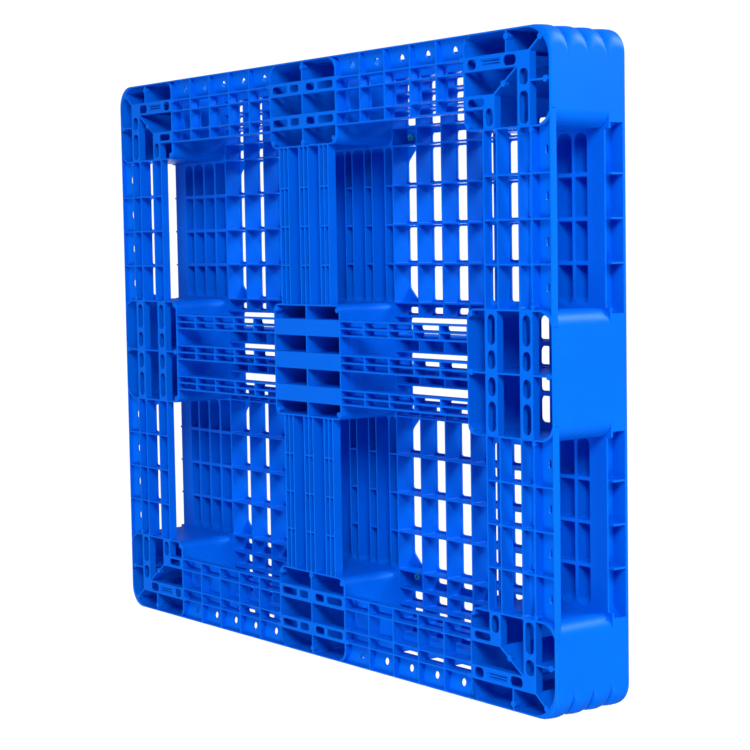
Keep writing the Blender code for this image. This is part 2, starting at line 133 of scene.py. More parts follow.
def softened(outline, radius, steps=2):
    """A polygon with each corner replaced by an arc-like curve that starts the given distance from it."""
    points = []
    count = len(outline)
    for index, corner in enumerate(outline):
        here = Vector(corner)
        before = Vector(outline[index - 1]) - here
        after = Vector(outline[(index + 1) % count]) - here
        if not radius or before.angle(after) > math.radians(150):
            points.append(tuple(here))
            continue
        start = here + before.normalized() * min(radius, before.length / 2.2)
        end = here + after.normalized() * min(radius, after.length / 2.2)
        for step in range(steps + 1):
            share = step / steps
            bent = start * (1 - share) ** 2 + here * 2 * share * (1 - share) + end * share ** 2
            points.append(tuple(bent))
    return points


def flipped(outline, side_x, side_y):
    return [(side_x * x, side_y * y) for x, y in outline]


def four_ways(outlines):
    """The outlines in all four quarters."""
    return [flipped(outline, x, y) for outline in outlines for x in (1, -1) for y in (1, -1)]


def spans(lines, rib):
    """The clear widths between ribs of one thickness whose middles are on the lines."""
    return [(low + rib / 2, high - rib / 2) for low, high in zip(lines, lines[1:])]


# ---------------------------------------------------------------- solids

def cleaned(mesh):
    """Joins the rounded sides to the flat faces and turns every face outwards."""
    work = bmesh.new()
    work.from_mesh(mesh)
    bmesh.ops.remove_doubles(work, verts=work.verts, dist=1e-6)
    bmesh.ops.recalc_face_normals(work, faces=work.faces)
    work.to_mesh(mesh)
    work.free()


def solid(outlines, z_low, z_high, edge=0.0):
    """Flat outlines, the inner ones being holes, extruded between two heights with rounded edges."""
    curve = bpy.data.curves.new("part", "CURVE")
    curve.dimensions = "2D"
    curve.fill_mode = "BOTH"
    curve.extrude = ((z_high - z_low) / 2 - edge) * MM
    if edge:
        curve.bevel_depth = edge * MM
        curve.bevel_resolution = 1
        curve.offset = -edge * MM
    for outline in outlines:
        spline = curve.splines.new("POLY")
        spline.points.add(len(outline) - 1)
        for point, (x, y) in zip(spline.points, outline):
            point.co = (x * MM, y * MM, 0, 1)
        spline.use_cyclic_u = True
    drawn = bpy.data.objects.new("part", curve)
    bpy.context.scene.collection.objects.link(drawn)
    graph = bpy.context.evaluated_depsgraph_get()
    mesh = bpy.data.meshes.new_from_object(drawn.evaluated_get(graph))
    bpy.data.objects.remove(drawn)
    bpy.data.curves.remove(curve)
    mesh.transform(Matrix.Translation((0, 0, (z_low + z_high) / 2 * MM)))
    mesh.materials.clear()
    cleaned(mesh)
    made = bpy.data.objects.new("part", mesh)
    bpy.context.scene.collection.objects.link(made)
    return made


def lying(profile, along_x, start, end):
    """A solid whose profile, in sideways distance and height, is extruded along X or along Y."""
    low, high = sorted((start, end))
    if along_x:
        turn = Matrix(((0, 0, 1), (1, 0, 0), (0, 1, 0))).to_4x4()
        made = solid([profile], low, high)
    else:
        turn = Matrix(((1, 0, 0), (0, 0, -1), (0, 1, 0))).to_4x4()
        made = solid([profile], -high, -low)
    made.data.transform(turn)
    return made


def stacked(rings):
    """A closed solid through rings of points that have one count, each with its own height."""
    work = bmesh.new()
    layers = [[work.verts.new((x * MM, y * MM, z * MM)) for x, y in ring] for ring, z in rings]
    for below, above in zip(layers, layers[1:]):
        for index in range(len(below)):
            after = (index + 1) % len(below)
            work.faces.new((below[index], below[after], above[after], above[index]))
    work.faces.new(list(reversed(layers[0])))
    work.faces.new(layers[-1])
    bmesh.ops.recalc_face_normals(work, faces=work.faces)
    mesh = bpy.data.meshes.new("part")
    work.to_mesh(mesh)
    work.free()
    made = bpy.data.objects.new("part", mesh)
    bpy.context.scene.collection.objects.link(made)
    return made


def combined(first, others, operation):
    """The first solid after a Boolean with each of the others, which are used up."""
    for other in others:
        step = first.modifiers.new("step", "BOOLEAN")
        step.operation = operation
        step.solver = "MANIFOLD"
        step.object = other
    graph = bpy.context.evaluated_depsgraph_get()
    mesh = bpy.data.meshes.new_from_object(first.evaluated_get(graph))
    first.modifiers.clear()
    old = first.data
    first.data = mesh
    bpy.data.meshes.remove(old)
    for other in others:
        bpy.data.objects.remove(other)
    return first


def piece(made, node, look):
    """Names the finished part, shades it and lets it stand for its CAD node."""
    made.name = f"{node}_moulded"
    made.data.name = made.name
    made.data.materials.clear()
    made.data.materials.append(look)
    for face in made.data.polygons:
        face.material_index = 0
        face.use_smooth = True
    made.data.set_sharp_from_angle(angle=math.radians(SHARP))
    even = made.modifiers.new("even_shading", "WEIGHTED_NORMAL")
    even.weight = 100
    even.keep_sharp = True
    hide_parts(node)
    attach(made, "root")
    return made


# ---------------------------------------------------------------- materials

def plastic(name, colour, pale, roughness=(0.34, 0.48)):
    """Moulded polyethylene: faint cloudy colour, a fine grain and a few dull scuffs."""
    made = bpy.data.materials.new(name)
    made.use_nodes = True
    tree = made.node_tree
    shader = tree.nodes["Principled BSDF"]
    shader.inputs["Specular IOR Level"].default_value = 0.22
    shader.inputs["Specular Tint"].default_value = (0.08, 0.6, 1, 1)

    def node(kind, **values):
        new = tree.nodes.new(kind)
        for key, value in values.items():
            new.inputs[key.replace("_", " ")].default_value = value
        return new

    where = node("ShaderNodeTexCoord")
    cloud = node("ShaderNodeTexNoise", Scale=9.0, Detail=3.0, Roughness=0.6)
    grain = node("ShaderNodeTexNoise", Scale=650.0, Detail=2.0, Roughness=0.5)
    stretch = node("ShaderNodeMapping")
    stretch.inputs["Scale"].default_value = (6, 90, 40)
    stretch.inputs["Rotation"].default_value = (0.3, 0.2, 0.7)
    scuff = node("ShaderNodeTexNoise", Scale=3.0, Detail=6.0, Roughness=0.7)
    for target in (cloud, grain):
        tree.links.new(where.outputs["Object"], target.inputs["Vector"])
    tree.links.new(where.outputs["Object"], stretch.inputs["Vector"])
    tree.links.new(stretch.outputs["Vector"], scuff.inputs["Vector"])

    shade = node("ShaderNodeValToRGB")
    shade.color_ramp.elements[0].position = 0.3
    shade.color_ramp.elements[0].color = (*[part * 0.93 for part in colour], 1)
    shade.color_ramp.elements[1].position = 0.7
    shade.color_ramp.elements[1].color = (*colour, 1)
    tree.links.new(cloud.outputs["Fac"], shade.inputs["Fac"])

    marks = node("ShaderNodeValToRGB")
    marks.color_ramp.elements[0].position = 0.62
    marks.color_ramp.elements[0].color = (0, 0, 0, 1)
    marks.color_ramp.elements[1].position = 0.8
    marks.color_ramp.elements[1].color = (0.35, 0.35, 0.35, 1)
    tree.links.new(scuff.outputs["Fac"], marks.inputs["Fac"])

    worn = node("ShaderNodeMix")
    worn.data_type = "RGBA"
    worn.inputs["B"].default_value = (*pale, 1)
    tree.links.new(marks.outputs["Color"], worn.inputs["Factor"])
    tree.links.new(shade.outputs["Color"], worn.inputs["A"])
    tree.links.new(worn.outputs["Result"], shader.inputs["Base Color"])

    dull = node("ShaderNodeMapRange")
    dull.inputs["To Min"].default_value = roughness[0]
    dull.inputs["To Max"].default_value = roughness[1]
    tree.links.new(scuff.outputs["Fac"], dull.inputs["Value"])
    tree.links.new(dull.outputs["Result"], shader.inputs["Roughness"])

    bump = node("ShaderNodeBump", Strength=0.12, Distance=0.0003)
    tree.links.new(grain.outputs["Fac"], bump.inputs["Height"])
    tree.links.new(bump.outputs["Normal"], shader.inputs["Normal"])
    return made


BLUE = (0.0, 0.13, 0.74)
PALE_BLUE = (0.0, 0.17, 0.82)
TEAL = (0.04, 0.5, 0.58)
PALE_TEAL = (0.15, 0.62, 0.68)

deck_look = plastic("deck_polyethylene", BLUE, PALE_BLUE)
foot_look = plastic("foot_polyethylene", BLUE, PALE_BLUE)
rail_look = plastic("rail_polyethylene", BLUE, PALE_BLUE)
beam_look = plastic("beam_polyethylene", BLUE, PALE_BLUE)
plug_look = plastic("plug_rubber", TEAL, PALE_TEAL, (0.6, 0.8))


# ---------------------------------------------------------------- outer shapes

def corner_radius(z):
    """The pallet's corner radius: four round bulges, with a sharp groove between each two."""
    ends = (-GROOVE_LEAD, *GROOVES, DECK_TOP + GROOVE_LEAD)
    for low, high in zip(ends, ends[1:]):
        if low <= z <= high:
            away = abs(z - (low + high) / 2) / ((high - low) / 2)
            bulge = math.sqrt(max(0.0, 1 - away * away))
            return OUTER_RADIUS + (GROOVE_RADIUS - OUTER_RADIUS) * (1 - bulge)
    return OUTER_RADIUS


def shell(low_x, high_x, low_y, high_y, radii, z_low, z_high, top_edge=0.0, foot_rim=0.0):
    """The outer body of a foot or of the deck. A radius of None is a corner with the pallet's bulges."""
    heights = {z_low, z_high}
    if foot_rim:
        heights |= {z_low + foot_rim * share for share in (0.15, 0.5, 1)}
    if top_edge:
        heights |= {z_high - top_edge * share for share in (0.15, 0.5, 1)}
    if None in radii:
        for groove in GROOVES:
            for away in (-17, -13, -9, -6, -3.5, -1.8, -0.6, 0, 0.6, 1.8, 3.5, 6, 9, 13, 17):
                heights.add(groove + away)
        heights |= {z_low + 5, z_low + 9, z_low + 14, z_high - 6, z_high - 11}
    rings = []
    for z in sorted(height for height in heights if z_low <= height <= z_high):
        inset = 0.0
        for at, edge in ((z - z_low, foot_rim), (z_high - z, top_edge)):
            if edge and at < edge:
                inset = edge - math.sqrt(max(0.0, edge * edge - (edge - at) ** 2))
        now = tuple(corner_radius(z) if radius is None else max(radius, 0.5) for radius in radii)
        ring = rounded(low_x + inset, high_x - inset, low_y + inset, high_y - inset, now, 8)
        rings.append((ring, z))
    return stacked(rings)


def mirrored(made, side_x, side_y):
    """A copy of a part in another quarter."""
    copy = bpy.data.objects.new(made.name, made.data.copy())
    bpy.context.scene.collection.objects.link(copy)
    copy.data.transform(Matrix.Diagonal((side_x, side_y, 1, 1)))
    if side_x * side_y < 0:
        copy.data.flip_normals()
    return copy


# ---------------------------------------------------------------- feet

def make_foot(body, around, cavities, plates, slots, flanges, bosses, top_slots, full_ribs=(), recess=()):
    """A foot cut to its outer body: walls, full-height ribs, shallow bars with slots, and a plate on top.

    around is an outline outside the body, cavities are the hollows between the walls, plates are the bars'
    outlines and flanges their edges. recess is a hollow in a bar whose floor has narrow slots.
    """
    walls = solid([around, *cavities], 0, FOOT_TOP, EDGE)
    lid = solid([around, *top_slots], FOOT_TOP - PLATE, FOOT_TOP, 0)
    parts = [lid]
    parts += [solid([flange], 0.05, BAR_DEPTH, 0.5) for flange in flanges]
    parts += [solid([rib], 0, FOOT_TOP - 0.5, EDGE) for rib in full_ribs]
    for index, plate in enumerate(plates):
        holes = slots[index]
        parts.append(solid([plate, *holes], 0, PLATE, 0.8))
    if recess:
        parts.append(solid(recess, 1.7, PLATE, 0))
    if bosses:
        parts.append(solid([circle(x, y, radius) for x, y, radius in bosses], -0.1, 9, 0.4))
    made = combined(walls, parts, "UNION")
    return combined(made, [body], "INTERSECT")


def wall(start, end, width=RIB):
    """The outline of a straight rib between two points."""
    first, last = Vector(start), Vector(end)
    aside = (last - first).normalized().orthogonal() * width / 2
    return [tuple(first + aside), tuple(last + aside), tuple(last - aside), tuple(first - aside)]


def corner_foot():
    radii = (15, 24, None, 18)
    body = shell(CORNER_X, HALF_LENGTH, CORNER_Y, HALF_WIDTH, radii, 0, FOOT_TOP, foot_rim=RIM_EDGE)
    around = rounded(CORNER_X - 5, HALF_LENGTH + 5, CORNER_Y - 5, HALF_WIDTH + 5, 0)
    left, right, low, high = CORNER_X + RIB, HALF_LENGTH - RIB, CORNER_Y + RIB, HALF_WIDTH - RIB
    inner_turn = GROOVE_RADIUS - 2
    turn = [(right - inner_turn + inner_turn * math.cos(math.radians(angle)),
             high - inner_turn + inner_turn * math.sin(math.radians(angle))) for angle in range(0, 91, 10)]
    cavity = [(left, 371), (left + 3.5, low + 3.5), (427, low), (576, low), (588, 365), (right, 377), *turn,
              (430, high), (419, 492), (left, 482)]
    full_ribs = [
        wall((507, 464), (507, high + 1)),
        wall((556, 422), (right + 1, 422)),
        wall((555, 464), (588, 489)),
        wall((479, 407), (532, 445)),
    ]
    outer_bar = [(left - 2, 443.5), (530.5, 443.5), (530.5, low - 2)]
    outer_bar += [(557.5, low - 2), (557.5, 466), (left - 2, 466)]
    inner_bar = [(left - 2, 387.5), (456, 387.5), (456, low - 2)]
    inner_bar += [(481, low - 2), (481, 408.5), (left - 2, 408.5)]
    outer_slots = [
        rounded(421, 441, 447, 462, 6),
        rounded(450, 496, 450.5, 459.5, 1.5),
        rounded(501, 528, 447, 462, 6.5),
        rounded(535, 553, 417, 440, 7),
        rounded(535, 553, 361.5, 408, 7),
    ]
    inner_slots = [rounded(421, 458, 392, 403.5, 5), rounded(461, 477, 362, 388, 7)]
    recess = [
        rounded(449, 497, 449.5, 460.5, 0),
        rounded(454, 492, 452, 454, 0.9),
        rounded(454, 492, 456, 458, 0.9),
    ]
    flanges = [
        rounded(left - 1, 531, 443.5, 445.5, 0), rounded(left - 1, 556, 464, 466, 0),
        rounded(530.5, 532.5, low - 1, 444, 0), rounded(555.5, 557.5, low - 1, 465, 0),
        rounded(left - 1, 457, 387.5, 389.5, 0), rounded(left - 1, 480, 406.5, 408.5, 0),
        rounded(456, 458, low - 1, 388.5, 0), rounded(479, 481, low - 1, 407.5, 0),
    ]
    bosses = [(500, 421.5, 5), (579, 482.5, 5), (507, 489, 5), (589, 422, 5), (419, 364, 5)]
    top_slots = [rounded(454, 470, 366, 380, (6, 1.5, 1.5, 6))]
    bars = [outer_bar, inner_bar]
    slots = [outer_slots, inner_slots]
    return make_foot(body, around, [cavity], bars, slots, flanges, bosses, top_slots, full_ribs, recess)


def long_edge_foot():
    radii = (15, 15, 20, 20)
    body = shell(-FOOT_X, FOOT_X, CORNER_Y + 1, HALF_WIDTH, radii, 0, FOOT_TOP, foot_rim=RIM_EDGE)
    around = rounded(-FOOT_X - 5, FOOT_X + 5, CORNER_Y - 5, HALF_WIDTH + 5, 0)
    side, low, high, inside = FOOT_X - RIB, CORNER_Y + 1 + RIB, HALF_WIDTH - RIB, RIB / 2
    half = [(inside, low), (78, low), (88, low + 3), (side, low + 12)]
    half = [softened([*half, (side, 479), (87, 490), (75, high), (inside, high)], 3)]
    cavities = [flipped(shape, way, 1) for shape in half for way in (1, -1)]
    bars = [rounded(-side - 2, side + 2, 443.5, 466.5, 0), rounded(-side - 2, side + 2, 387.5, 411.5, 0)]
    slots = []
    for low_y, high_y in ((449, 461), (393.5, 405.5)):
        slots.append([rounded(low_x, high_x, low_y, high_y, 4.5) for low_x, high_x in
                      ((10, 35), (43, 86), (-35, -10), (-86, -43))])
    flanges = [rounded(-side - 1, side + 1, at, at + 2, 0) for at in (443.5, 464.5, 387.5, 409.5)]
    bosses = [(0, 489, 5), (0, 364, 5), (86, 367, 4.5), (-86, 367, 4.5)]
    return make_foot(body, around, cavities, bars, slots, flanges, bosses, [])


def short_edge_foot():
    body = shell(CORNER_X, HALF_LENGTH, -FOOT_Y, FOOT_Y, (15, 24, 24, 15), 0, FOOT_TOP, foot_rim=RIM_EDGE)
    around = rounded(CORNER_X - 5, HALF_LENGTH + 5, -FOOT_Y - 5, FOOT_Y + 5, 0)
    side, left, right, inside = FOOT_Y - RIB, CORNER_X + RIB, HALF_LENGTH - RIB, RIB / 2
    half = [(left, inside), (right, inside), (right, 72), (591, 84)]
    half = [softened([*half, (575, side), (427, side), (left, 80)], 3)]
    cavities = [flipped(shape, 1, way) for shape in half for way in (1, -1)]
    bars = [rounded(529.5, 557.5, -side - 2, side + 2, 0), rounded(453.5, 480.5, -side - 2, side + 2, 0)]
    slots = []
    for middle in (544, 467.5):
        slots.append([stadium(middle - 8.5, middle + 8.5, low_y, high_y) for low_y, high_y in
                      ((6, 34), (42, 87), (-34, -6), (-87, -42))])
    flanges = [rounded(at, at + 2, -side - 1, side + 1, 0) for at in (529.5, 555.5, 453.5, 478.5)]
    bosses = [(590, 0, 5), (421, 0, 5), (421, 87, 4.5), (421, -87, 4.5), (592, 88, 4), (592, -88, 4)]
    top_slots = [flipped(rounded(453.5, 473, low_y, high_y, (8, 1.5, 1.5, 8)), 1, way)
                 for low_y, high_y in ((3, 35), (40.5, 81)) for way in (1, -1)]
    return make_foot(body, around, cavities, bars, slots, flanges, bosses, top_slots)


def middle_foot():
    body = shell(-FOOT_X, FOOT_X, -FOOT_Y, FOOT_Y, (12, 12, 12, 12), 0, FOOT_TOP, foot_rim=EDGE)
    around = rounded(-FOOT_X - 5, FOOT_X + 5, -FOOT_Y - 5, FOOT_Y + 5, 0)
    side, inside = FOOT_X - RIB, RIB / 2
    quarter = [
        rounded(inside, side, 14, 42, 2),
        rounded(inside, side, 70, FOOT_Y - RIB, (2, 2, 9, 2)),
    ]
    bars = ((-14, 14), (42, 70), (-70, -42))
    hollow = [rounded(-side, side, low + RIB, high - RIB, 1) for low, high in bars]
    walls = solid([around, *four_ways(quarter)], 0, FOOT_TOP, EDGE)
    inner = solid(hollow, PLATE, FOOT_TOP + 1, 0)
    lid = solid([around, *hollow], FOOT_TOP - PLATE, FOOT_TOP, 0)
    dots = solid([circle(x, y, 4.5) for x, y in ((86, 86), (-86, 86), (86, -86), (-86, -86))], 0.3, 9, 0.4)
    made = combined(walls, [inner], "DIFFERENCE")
    made = combined(made, [lid, dots], "UNION")
    return combined(made, [body], "INTERSECT")


foot = corner_foot()
for end, side_y in (("front", -1), ("rear", 1)):
    for hand, side_x in (("left", -1), ("right", 1)):
        piece(mirrored(foot, side_x, side_y), f"corner_foot_{end}_{hand}", foot_look)
bpy.data.objects.remove(foot)

foot = long_edge_foot()
piece(mirrored(foot, 1, -1), "front_centre_foot", foot_look)
piece(foot, "rear_centre_foot", foot_look)

foot = short_edge_foot()
piece(mirrored(foot, -1, 1), "left_centre_foot", foot_look)
piece(foot, "right_centre_foot", foot_look)

piece(middle_foot(), "middle_foot", foot_look)


# ---------------------------------------------------------------- rails and beams

def strip_of(profile_top, thickness):
    """The closed profile of a thin plate under a top line."""
    return list(profile_top) + [(at, z - thickness) for at, z in reversed(profile_top)]


def placed(along_x, outline):
    """An outline given along and across a rail, in X and Y."""
    return outline if along_x else [(across, along) for along, across in outline]


def make_rail(along_x):
    """The rail in the +X +Y quarter: an outer row of trays and three rows of windows, under a falling top."""
    if along_x:
        rows, bays, start, end = RAIL_ROWS_Y, BAY_X[1:-1], FOOT_X, CORNER_X
        nooks = (18, 16)
    else:
        rows, bays, start, end = RAIL_ROWS_X, BAY_Y[1:-1], FOOT_Y, CORNER_Y
        nooks = (22, 22)
    inner, flat_from, flat_to, tray, rim = rows
    low, high = start - OVERLAP, end + OVERLAP
    # The outer trays run on round the feet's rounded corners.
    outline = [
        (low, inner),
        (high, inner),
        (high, rim - nooks[1] - 3),
        (high + nooks[1] * 0.4, rim - nooks[1] * 0.35),
        (high + nooks[1], rim),
        (low - nooks[0], rim),
        (low - nooks[0] * 0.4, rim - nooks[0] * 0.35),
        (low, rim - nooks[0] - 3),
    ]
    cells = spans((start - RIB / 2, *bays, end + RIB / 2), RIB)
    lines = (inner + RIB / 2, flat_from, flat_to, tray, rim - RIB / 2)
    holes, windows, drains = [], [], []
    *window_rows, (tray_low, tray_high) = spans(lines, RIB)
    for index, (left, right) in enumerate(cells):
        first, last = index == 0, index == len(cells) - 1
        left += 0.1 if first else 0
        right -= 0.1 if last else 0
        for near, far in window_rows:
            holes.append(rounded(left, right, near, far, 1.5, 2))
            from_left = left + (FOOT_LEDGE if first else WINDOW_INSET)
            from_right = right - (FOOT_LEDGE if last and along_x else WINDOW_INSET)
            windows.append(rounded(from_left, from_right, near + 1.2, far - 1.2, 4))
        cell = [(left, tray_low), (right, tray_low), (right, tray_high), (left, tray_high)]
        if first:
            nook = nooks[0]
            cell[3:] = [(left - nook * 0.75, tray_high), (left - nook * 0.25, rim - nook * 0.45),
                        (left, rim - nook - 1)]
        if last:
            nook = nooks[1]
            cell[2:3] = [(right, rim - nook - 1), (right + nook * 0.25, rim - nook * 0.45),
                         (right + nook * 0.75, tray_high)]
        holes.append(softened(cell, 2))
        middle = (max(left, start) + min(right, end)) / 2
        if along_x:
            drains.append(circle(middle, 481, 6.2))
        else:
            drains.append(stadium(middle - 7, middle + 7, 576, 584))
    top = [(inner - 1, RAIL_INNER_TOP), (flat_from, RAIL_TOP), (flat_to, RAIL_TOP), (rim + 1, RAIL_RIM_TOP)]
    arc = [(rim - RIM_EDGE + RIM_EDGE * math.sin(a), RIM_EDGE - RIM_EDGE * math.cos(a) + LIFT)
           for a in (0, 0.4, 0.8, 1.2, math.pi / 2)]
    envelope = [(inner - 1, LIFT)] + arc + [(rim, RAIL_RIM_TOP + 0.2)] + list(reversed(top[:-1]))
    reach = (start - 40, end + 40)
    grid = solid([placed(along_x, shape) for shape in (outline, *holes)], LIFT, RAIL_TOP + 4, EDGE)
    grid = combined(grid, [lying(envelope, along_x, *reach)], "INTERSECT")
    plate = lying(strip_of(top, PLATE), along_x, *reach)
    within = solid([placed(along_x, shape) for shape in (outline, *windows, *drains)], -2, RAIL_TOP + 4, 0)
    plate = combined(plate, [within, lying(envelope, along_x, *reach)], "INTERSECT")
    knots = [(left + 0.5, flat_to) for left, _ in cells[:1]]
    knots += [(right - 0.5, flat_to) for _, right in cells[-1:]]
    knots += [(left + 4, tray) for left, _ in cells[:1]] + [(right - 4, tray) for _, right in cells[-1:]]
    knots += [(cells[1][0] - RIB / 2, tray), (cells[3 if along_x else 2][0] - RIB / 2, flat_from)]
    dots = [placed(along_x, circle(along, across, 4.2)) for along, across in knots]
    return combined(grid, [plate, solid(dots, LIFT, 10, 0.4)], "UNION")


def make_beam(along_x, rows):
    """One of the three bars on the +X or +Y side of the middle foot."""
    if along_x:
        start, end, bays = FOOT_X, CORNER_X, BAY_X[1:-1]
    else:
        start, end, bays = FOOT_Y, CORNER_Y + 1, BAY_Y[1:-1]
    outline = rounded(start - OVERLAP, end + OVERLAP, rows[0], rows[2], 0)
    cells = spans((start - RIB / 2, *bays, end + RIB / 2), RIB)
    across = spans((rows[0] + RIB / 2, rows[1], rows[2] - RIB / 2), RIB)
    holes, windows = [], []
    for low, high in cells:
        low_ledge = BEAM_LEDGE if low < start + 2 else FINE_INSET
        high_ledge = BEAM_LEDGE if high > end - 2 else FINE_INSET
        for near, far in across:
            holes.append(rounded(max(low, start + 0.1), min(high, end - 0.1), near, far, 1.2, 2))
            windows.append(rounded(low + low_ledge, high - high_ledge, near + 0.8, far - 0.8, 3))
    tops = [BEAM_OUTER_TOP if abs(line) == 70 else RAIL_TOP for line in (rows[0], rows[2])]
    top = [(rows[0], tops[0]), (rows[2], tops[1])]
    envelope = [(rows[0], 0), (rows[2], 0), (rows[2], tops[1]), (rows[0], tops[0])]
    reach = (start - 5, end + 5)
    grid = solid([placed(along_x, shape) for shape in (outline, *holes)], LIFT, RAIL_TOP + 4, EDGE)
    grid = combined(grid, [lying(envelope, along_x, *reach)], "INTERSECT")
    plate = lying(strip_of(top, PLATE), along_x, *reach)
    within = solid([placed(along_x, shape) for shape in (outline, *windows)], -2, RAIL_TOP + 4, 0)
    plate = combined(plate, [within], "INTERSECT")
    return combined(grid, [plate], "UNION")


for along_x, pattern in ((True, "{end}_rail_{hand}"), (False, "{hand}_rail_{end}")):
    rail = make_rail(along_x)
    for end, side_y in (("front", -1), ("rear", 1)):
        for hand, side_x in (("left", -1), ("right", 1)):
            node = pattern.format(end=end, hand=hand)
            piece(mirrored(rail, side_x, side_y), node, rail_look)
    bpy.data.objects.remove(rail)

for lane, rows in (("centre", (-14, 0, 14)), ("high", (43, 56.5, 70))):
    for along_x in (True, False):
        beam = make_beam(along_x, rows)
        ends = (("left", -1), ("right", 1)) if along_x else (("front", -1), ("rear", 1))
        for place, side in ends:
            for name, other in ((lane, 1), ("low", -1)):
                if lane == "centre" and name == "low":
                    continue
                turn = (side, other) if along_x else (other, side)
                node = f"{'long' if along_x else 'cross'}_beam_{place}_{name}"
                piece(mirrored(beam, *turn), node, beam_look)
        bpy.data.objects.remove(beam)


# ---------------------------------------------------------------- deck

def deck_bay_slots():
    found = []
    columns = spans(BAY_X, RIB)
    for column, (low_x, high_x) in enumerate(columns):
        for row, (low, high) in enumerate(zip(BAY_Y, BAY_Y[1:])):
            middle = (low + high) / 2
            box = [low_x + 0.8, high_x - 0.8, middle - SLOT_HALF, middle + SLOT_HALF]
            corners = [(box[0], box[2]), (box[1], box[2]), (box[1], box[3]), (box[0], box[3])]
            at_x = {0: box[0], len(columns) - 1: box[1]}.get(column)
            at_y = {0: box[2], len(BAY_Y) - 2: box[3]}.get(row)
            outline = []
            for index, corner in enumerate(corners):
                if corner != (at_x, at_y):
                    outline.append(corner)
                    continue
                here = Vector(corner)
                for other in (corners[index - 1], corners[(index + 1) % 4]):
                    outline.append(tuple(here + (Vector(other) - here).normalized() * SLOT_CORNER))
            found.append(softened(outline, 5, 3))
    return found


def deck_openings():
    """Every opening of the deck's skin in one quarter, besides the long slots."""
    found = deck_bay_slots()
    for column, (low_x, high_x) in enumerate(spans(BAY_X, RIB)):
        for row, (low_y, high_y) in enumerate(EDGE_SLOTS_Y):
            if column or row:
                found.append(rounded(low_x + 0.8, high_x - 0.8, low_y, high_y, 5))
        found.append(rounded(low_x + 0.8, high_x - 0.8, *BAND_SLOT_Y, 4))
    for low_y, high_y in ((4, 37), (43, 90)):
        found.append(rounded(415, 446, low_y, high_y, 6))
    found.append(rounded(415, 446, 362, 382, 6))
    return found


def deck_cells():
    """The hollows between the ribs."""
    quarter = []
    for low_x, high_x in spans(BAY_X, RIB):
        for low_y, high_y in spans(BAY_Y, RIB) + spans(EDGE_Y, RIB) + spans(BAND_Y[2:], RIB):
            quarter.append(rounded(low_x, high_x, low_y, high_y, 1.2, 2))
        quarter.append(rounded(low_x, high_x, *spans(BAND_Y[:2], RIB)[0], 1.2, 2))
    for column, (low_x, high_x) in enumerate(spans(EDGE_X, EDGE_RIB)):
        for row, (low_y, high_y) in enumerate(spans(BAY_Y, EDGE_RIB)):
            radii = [2.5, 2.5, 2.5, 2.5]
            if column and row == 0:
                radii[0] = radii[1] = 12
            if column and row == len(BAY_Y) - 2:
                radii[2] = radii[3] = 12
            quarter.append(rounded(low_x, high_x, low_y, high_y, tuple(radii)))
    quarter += [
        rounded(CORNER_X + 3, HALF_LENGTH - 30, CORNER_Y + 5, HALF_WIDTH - 45, 2),
        rounded(CORNER_X + 2, HALF_LENGTH - 28, RIB / 2, 38.5, 2),
        rounded(CORNER_X + 2, HALF_LENGTH - 28, 41.5, FOOT_Y - 4, 2),
        rounded(RIB / 2, FOOT_X - 8, CORNER_Y + 8, HALF_WIDTH - 10, 2),
        rounded(RIB / 2, FOOT_X - 8, RIB / 2, FOOT_Y - 8, 2),
    ]
    found = four_ways(quarter)
    for side in (1, -1):
        for index, (low_x, high_x) in enumerate(spans(BAND_X, RIB)):
            lines = BAY_Y if index in (0, 2, 4, 6) else (BAY_Y[0], BAY_Y[-1])
            rows = spans(lines, RIB)
            for row, (low_y, high_y) in enumerate(rows):
                near = BAND_CORNER if row == 0 else 1.2
                far = BAND_CORNER if row == len(rows) - 1 else 1.2
                hollow = rounded(low_x, high_x, low_y, high_y, (near, near, far, far))
                found.append(flipped(hollow, 1, side))
        low_x, high_x = BAY_X[0] + RIB / 2, BAY_X[-1] - RIB / 2
        for low_y, high_y in ((-BAND_Y[2], -BAND_Y[1]), (-BAND_Y[0], BAND_Y[0]), (BAND_Y[1], BAND_Y[2])):
            hollow = rounded(low_x, high_x, low_y + RIB / 2, high_y - RIB / 2, 1.2, 2)
            found.append(flipped(hollow, side, 1))
    return found


def channel_outlines():
    found = []
    lines_x = (BAY_X[0] - CHANNEL_OVERRUN, *BAY_X[1:-1], BAY_X[-1] + CHANNEL_OVERRUN)
    lines_y = (BAY_Y[0] - CHANNEL_OVERRUN, *BAY_Y[1:-1], BAY_Y[-1] + CHANNEL_OVERRUN)
    for index, (low, high) in enumerate(spans(lines_x, RIB)):
        first = CHANNEL_CORNER if index == 0 else 2
        last = CHANNEL_CORNER if index == len(lines_x) - 2 else 2
        radii = (first, last, 0, 0)
        found.append(rounded(low, high, HALF_WIDTH - CHANNEL_DEPTH, HALF_WIDTH + 5, radii, 6))
    for index, (low, high) in enumerate(spans(lines_y, RIB)):
        first = CHANNEL_CORNER if index == 0 else 2
        last = CHANNEL_CORNER if index == len(lines_y) - 2 else 2
        radii = (first, 0, 0, last)
        found.append(rounded(HALF_LENGTH - CHANNEL_DEPTH, HALF_LENGTH + 5, low, high, radii, 6))
    return four_ways(found)


